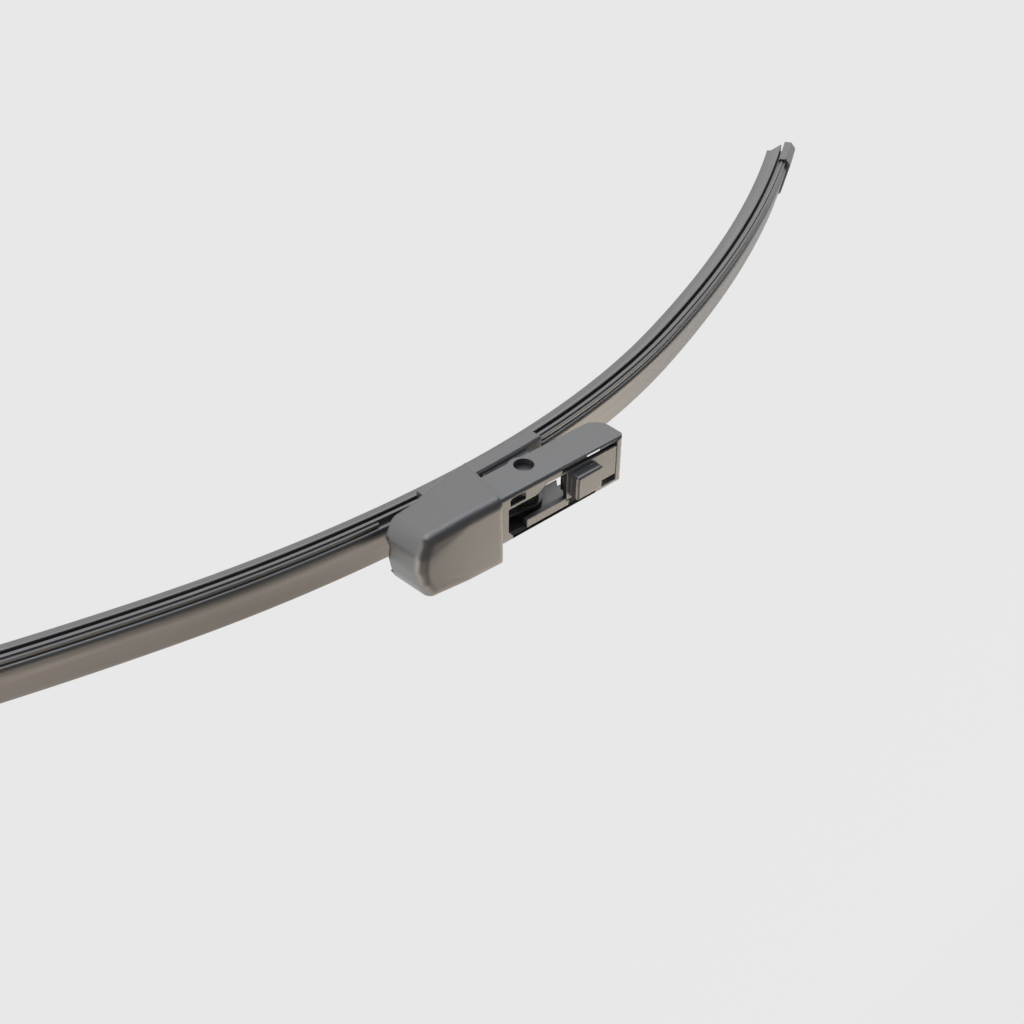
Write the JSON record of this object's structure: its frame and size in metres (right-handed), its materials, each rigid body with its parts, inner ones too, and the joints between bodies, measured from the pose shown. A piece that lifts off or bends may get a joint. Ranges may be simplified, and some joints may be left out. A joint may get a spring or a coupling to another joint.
{
  "type": "flat wiper blade",
  "caption": "Black flat wiper blade for a windscreen: curved rubber on two steel rails with a spoiler, end caps, and a hooded adapter with a release button that tilts on a pivot.",
  "frame": {"origin": "middle of the pivot axis that joins the adapter to the blade, halfway across the adapter", "axes": "+X along the blade towards the adapter's open end, +Y across the blade towards the side without the wing, +Z away from the glass"},
  "size_m": [0.3701, 0.0172, 0.0895],
  "materials": {
    "wiper_rubber": "matt, graphite coated",
    "spoiler_rubber": "satin",
    "spring_steel": "satin black",
    "pin_steel": "black",
    "moulded_plastic": "fine satin grain"
  },
  "bodies": {
    "adapter": {"adapter_frame": "moulded_plastic", "hood": "moulded_plastic"},
    "blade": {"wiper_rubber": "wiper_rubber", "spring_rail_upper": "spring_steel", "spring_rail_lower": "spring_steel", "spoiler_left": "spoiler_rubber", "spoiler_right": "spoiler_rubber", "end_cap_left": "moulded_plastic", "end_cap_right": "moulded_plastic", "connector": "moulded_plastic", "pivot_pin": "pin_steel", "pivot_bush": "pin_steel"},
    "button": {"release_button": "moulded_plastic"}
  },
  "joints": [
    {"name": "blade_pivot", "type": "hinge", "parent": "adapter", "child": "blade", "pos_m": [0, 0, 0], "axis": [0, 1, 0], "range_deg": [-12, 8]},
    {"name": "button_press", "type": "hinge", "parent": "adapter", "child": "button", "pos_m": [0.0211, 0, 0.0054], "axis": [0, -1, 0], "range_deg": [0, 10], "stiffness_Nm_per_rad": 0.05}
  ]
}
